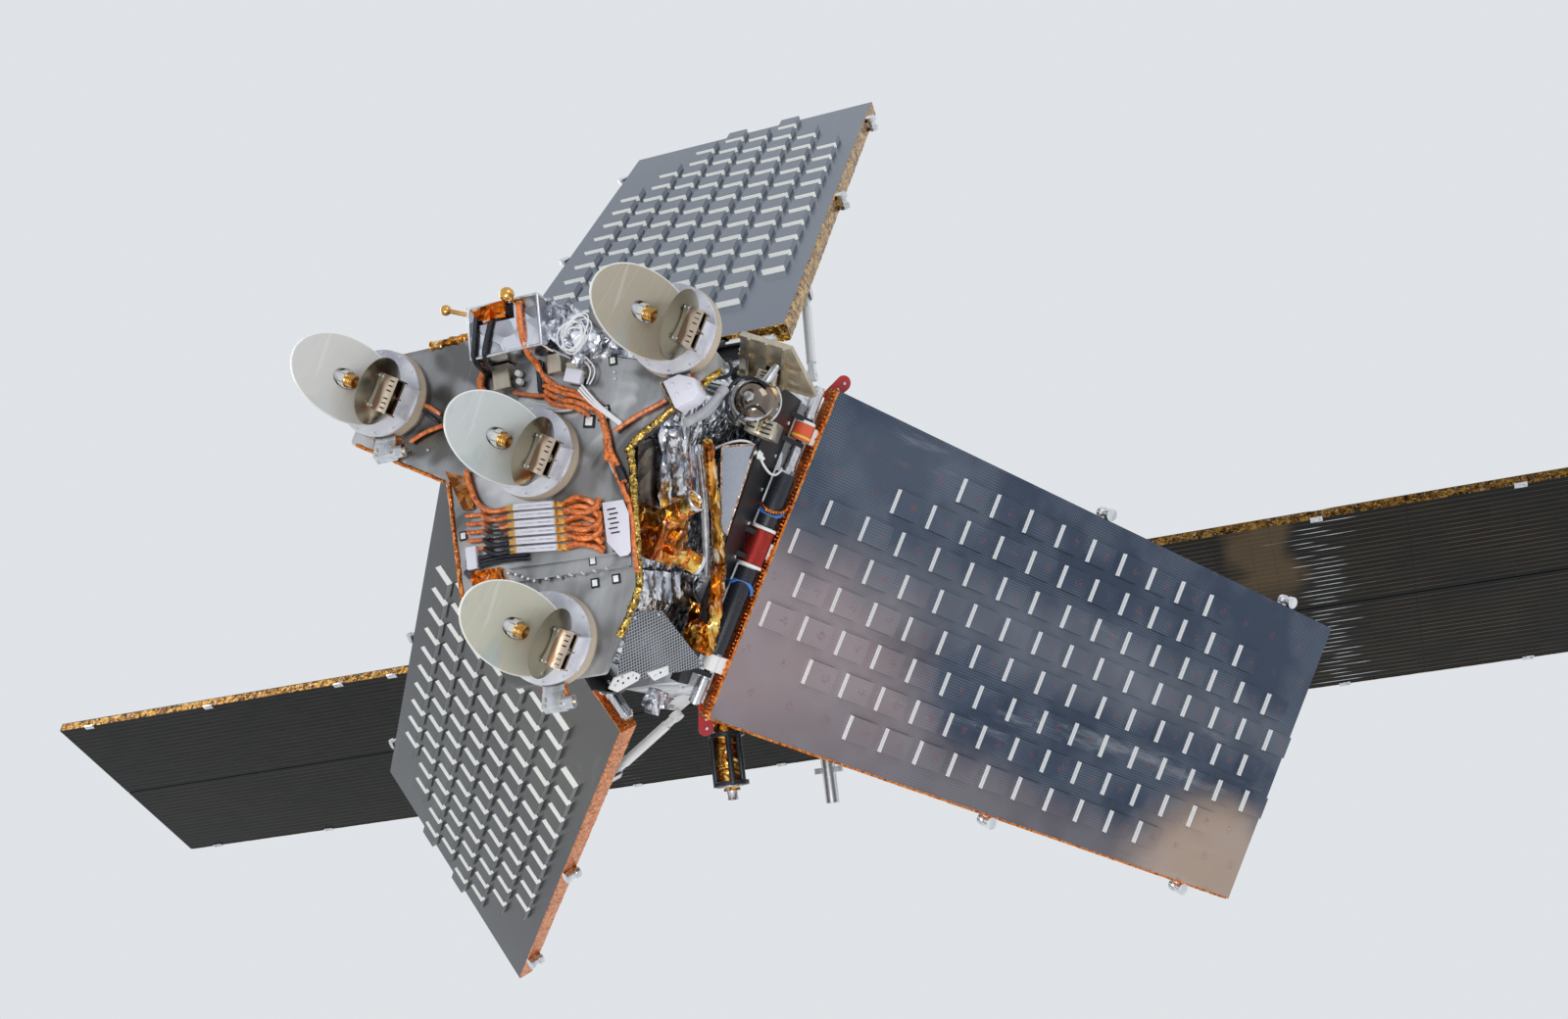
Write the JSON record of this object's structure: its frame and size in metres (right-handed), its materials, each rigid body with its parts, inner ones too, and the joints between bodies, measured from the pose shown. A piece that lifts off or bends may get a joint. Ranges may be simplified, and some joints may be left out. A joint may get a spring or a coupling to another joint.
{
  "type": "communications satellite",
  "caption": "Low-orbit communications satellite: tapered nadir deck with steerable mirror antennas, leaning phased-array panels and rotating solar wings on a three-sided body.",
  "frame": {"origin": "middle of the top plate's outer face, where the satellite is held", "axes": "+Z to zenith along the body, +X along the flight direction, +Y to port along the solar wing axis"},
  "size_m": [2.759, 8.23, 4.6146],
  "materials": {
    "tower_foil": "crinkled silver film",
    "grey_plate": "brushed",
    "silver_foil": "crinkled foil",
    "black_composite": "satin carbon",
    "white_paint": "satin",
    "array_face": "silvered film",
    "bright_aluminium": "machined",
    "solar_cells": "glassy",
    "bronze_dish": "nickel bronze, satin",
    "mirror_white": "pearly satin",
    "gold_foil": "crinkled foil",
    "champagne_metal": "satin",
    "orange_wrap": "polyimide tape"
  },
  "bodies": {
    "bus": {"aft_canister": "bright_aluminium", "aft_thruster": "gold_foil", "antenna_bases": "white_paint", "antenna_drives": "silver_foil", "bus_core": "tower_foil", "corner_brackets": "white_paint", "crosslink_antenna": "champagne_metal", "crosslink_gimbal": "bright_aluminium", "deck_boxes": "champagne_metal", "deck_channel": "grey_plate", "equipment_bay": "silver_foil", "filter_modules": "bright_aluminium", "foil_box": "silver_foil", "harness": "orange_wrap", "hinge_beams": "black_composite", "hinge_dampers": "bright_aluminium", "horizon_sensors": "gold_foil", "nadir_deck": "grey_plate", "service_lines": "gold_foil", "side_screens": "black_composite", "strut_plates": "white_paint", "stub_antennas": "gold_foil", "top_plate": "grey_plate", "wing_drives": "bright_aluminium"},
    "array_fore": {"array_fore_panel": "array_face", "array_fore_arms": "white_paint", "array_fore_spools": "bright_aluminium"},
    "struts_fore": {"array_fore_struts": "white_paint"},
    "array_port": {"array_port_panel": "array_face", "array_port_arms": "white_paint", "array_port_spools": "bright_aluminium"},
    "struts_port": {"array_port_struts": "white_paint"},
    "array_starboard": {"array_starboard_panel": "array_face", "array_starboard_arms": "white_paint", "array_starboard_spools": "bright_aluminium"},
    "struts_starboard": {"array_starboard_struts": "white_paint"},
    "wing_port": {"wing_port_aft_panel": "solar_cells", "wing_port_boom": "black_composite", "wing_port_fore_panel": "solar_cells", "wing_port_hinges": "bright_aluminium"},
    "wing_starboard": {"wing_starboard_aft_panel": "solar_cells", "wing_starboard_boom": "black_composite", "wing_starboard_fore_panel": "solar_cells", "wing_starboard_hinges": "bright_aluminium"},
    "turntable_fore_port": {"antenna_fore_port_turntable": "white_paint", "antenna_fore_port_dish": "bronze_dish"},
    "mirror_fore_port": {"antenna_fore_port_mirror": "mirror_white"},
    "turntable_fore_starboard": {"antenna_fore_starboard_turntable": "white_paint", "antenna_fore_starboard_dish": "bronze_dish"},
    "mirror_fore_starboard": {"antenna_fore_starboard_mirror": "mirror_white"},
    "turntable_aft": {"antenna_aft_turntable": "white_paint", "antenna_aft_dish": "bronze_dish"},
    "mirror_aft": {"antenna_aft_mirror": "mirror_white"},
    "turntable_centre": {"antenna_centre_turntable": "white_paint", "antenna_centre_dish": "bronze_dish"},
    "mirror_centre": {"antenna_centre_mirror": "mirror_white"}
  },
  "joints": [
    {"name": "array_fore_hinge", "type": "hinge", "parent": "bus", "child": "array_fore", "pos_m": [0.33849, 0, -3.41561], "axis": [0, 1, 0], "range_deg": [-40, 0]},
    {"name": "struts_fore_pivot", "type": "hinge", "parent": "array_fore", "child": "struts_fore", "pos_m": [0.54699, 0, -3.09712], "axis": [0, 1, 0], "range_deg": [-43, 1]},
    {"name": "array_port_hinge", "type": "hinge", "parent": "bus", "child": "array_port", "pos_m": [-0.16924, 0.29314, -3.41561], "axis": [-0.866, -0.5, 0], "range_deg": [-40, 0]},
    {"name": "struts_port_pivot", "type": "hinge", "parent": "array_port", "child": "struts_port", "pos_m": [-0.27349, 0.47371, -3.09712], "axis": [-0.866, -0.5, 0], "range_deg": [-43, 1]},
    {"name": "array_starboard_hinge", "type": "hinge", "parent": "bus", "child": "array_starboard", "pos_m": [-0.16924, -0.29314, -3.41561], "axis": [0.866, -0.5, 0], "range_deg": [-40, 0]},
    {"name": "struts_starboard_pivot", "type": "hinge", "parent": "array_starboard", "child": "struts_starboard", "pos_m": [-0.27349, -0.47371, -3.09712], "axis": [0.866, -0.5, 0], "range_deg": [-43, 1]},
    {"name": "wing_port_drive", "type": "hinge", "parent": "bus", "child": "wing_port", "pos_m": [-0.117, 0.4, -0.09], "axis": [0, 1, 0], "continuous": true},
    {"name": "wing_starboard_drive", "type": "hinge", "parent": "bus", "child": "wing_starboard", "pos_m": [-0.117, -0.4, -0.09], "axis": [0, 1, 0], "continuous": true},
    {"name": "turntable_fore_port_azimuth", "type": "hinge", "parent": "bus", "child": "turntable_fore_port", "pos_m": [0.20525, 0.3555, -4.03], "axis": [0, 0, 1], "range_deg": [-170, 170]},
    {"name": "mirror_fore_port_roll", "type": "hinge", "parent": "turntable_fore_port", "child": "mirror_fore_port", "pos_m": [0.21875, 0.33212, -4.13], "axis": [0.5, -0.866, 0], "range_deg": [-75, 45]},
    {"name": "turntable_fore_starboard_azimuth", "type": "hinge", "parent": "bus", "child": "turntable_fore_starboard", "pos_m": [0.20525, -0.3555, -4.03], "axis": [0, 0, 1], "range_deg": [-170, 170]},
    {"name": "mirror_fore_starboard_roll", "type": "hinge", "parent": "turntable_fore_starboard", "child": "mirror_fore_starboard", "pos_m": [0.21875, -0.37889, -4.13], "axis": [0.5, -0.866, 0], "range_deg": [-75, 45]},
    {"name": "turntable_aft_azimuth", "type": "hinge", "parent": "bus", "child": "turntable_aft", "pos_m": [-0.4105, 0, -4.03], "axis": [0, 0, 1], "range_deg": [-170, 170]},
    {"name": "mirror_aft_roll", "type": "hinge", "parent": "turntable_aft", "child": "mirror_aft", "pos_m": [-0.397, -0.02338, -4.13], "axis": [0.5, -0.866, 0], "range_deg": [-75, 45]},
    {"name": "turntable_centre_azimuth", "type": "hinge", "parent": "bus", "child": "turntable_centre", "pos_m": [0, 0, -4.03], "axis": [0, 0, 1], "range_deg": [-170, 170]},
    {"name": "mirror_centre_roll", "type": "hinge", "parent": "turntable_centre", "child": "mirror_centre", "pos_m": [0.0135, -0.02338, -4.13], "axis": [0.5, -0.866, 0], "range_deg": [-75, 45]}
  ],
  "couplings": [
    {"joint": "struts_fore_pivot", "follows": "array_fore_hinge", "ratio": 1.06},
    {"joint": "struts_port_pivot", "follows": "array_port_hinge", "ratio": 1.06},
    {"joint": "struts_starboard_pivot", "follows": "array_starboard_hinge", "ratio": 1.06}
  ]
}
